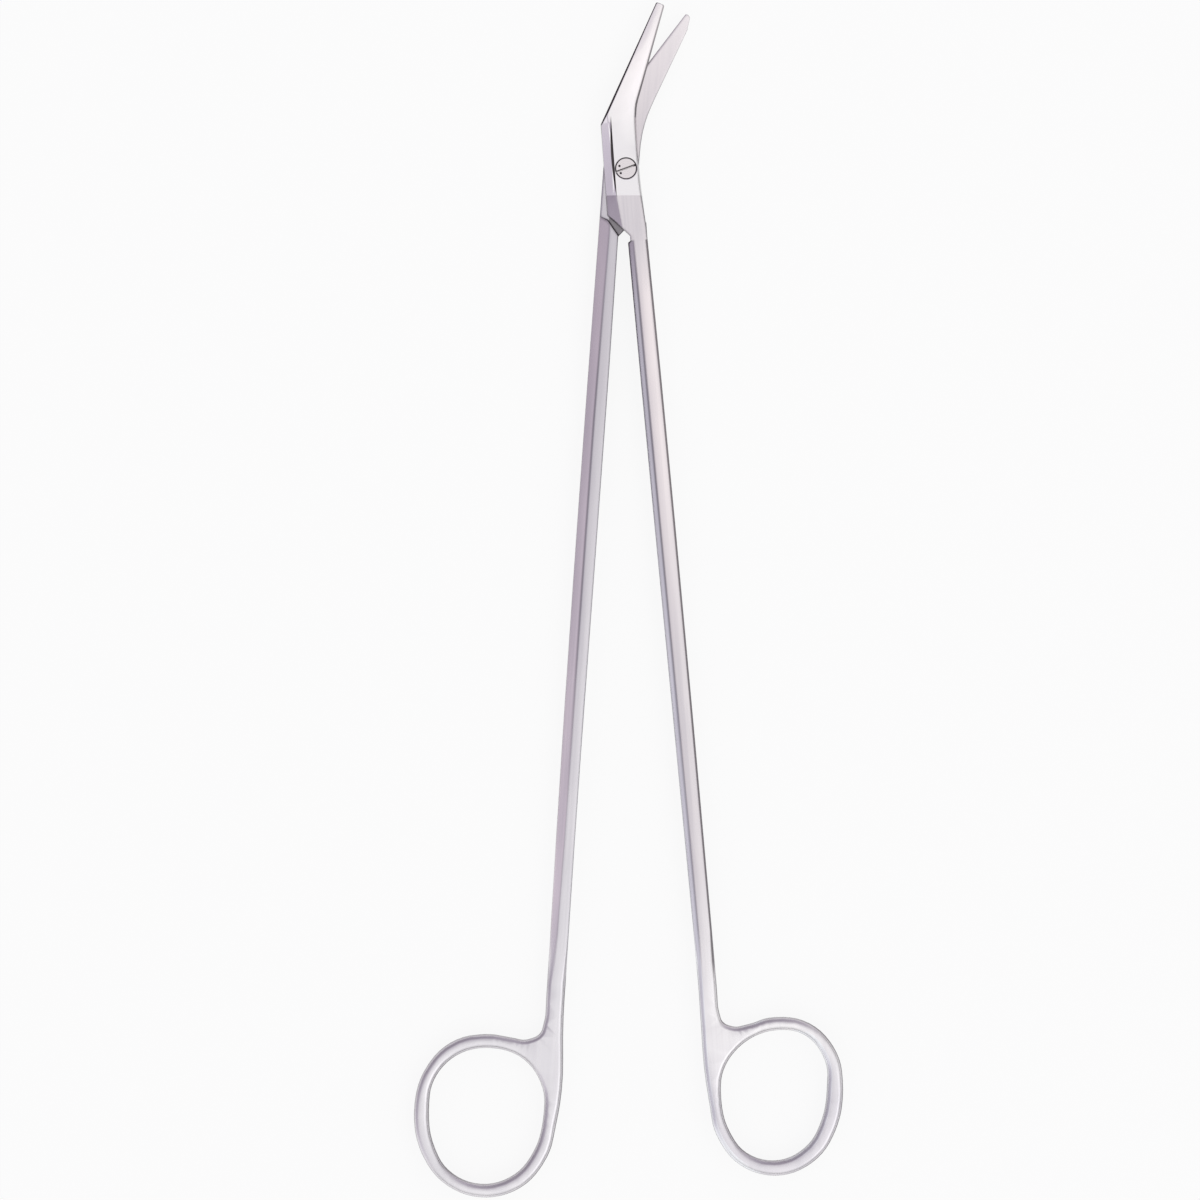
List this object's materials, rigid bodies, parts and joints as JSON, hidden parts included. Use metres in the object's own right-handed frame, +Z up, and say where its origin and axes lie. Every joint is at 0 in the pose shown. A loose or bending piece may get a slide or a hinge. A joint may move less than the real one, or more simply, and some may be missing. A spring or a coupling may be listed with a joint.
{
  "type": "angled vascular scissors",
  "caption": "Long slim surgical scissors with fine blades angled to one side, a lap joint on a slotted screw, bevelled shanks and finger rings.",
  "frame": {"origin": "on the pivot screw's axis, in the plane that the closed joint lies on", "axes": "+Z up along the pivot screw towards its slotted head, +Y from the screw to the blades' end, +X to the side that the blades are angled to"},
  "size_m": [0.0828, 0.2307, 0.0044],
  "materials": {
    "blade_steel": "satin-polished stainless steel, brighter on the blades and the joint",
    "screw_steel": "satin stainless steel, ground flush"
  },
  "bodies": {
    "lower": {"lower_half": "blade_steel", "pivot_screw": "screw_steel"},
    "upper": {"upper_half": "blade_steel"}
  },
  "joints": [
    {"name": "pivot", "type": "hinge", "parent": "lower", "child": "upper", "pos_m": [0, 0, 0], "axis": [0, 0, 1], "range_deg": [-7.8, 120]}
  ]
}
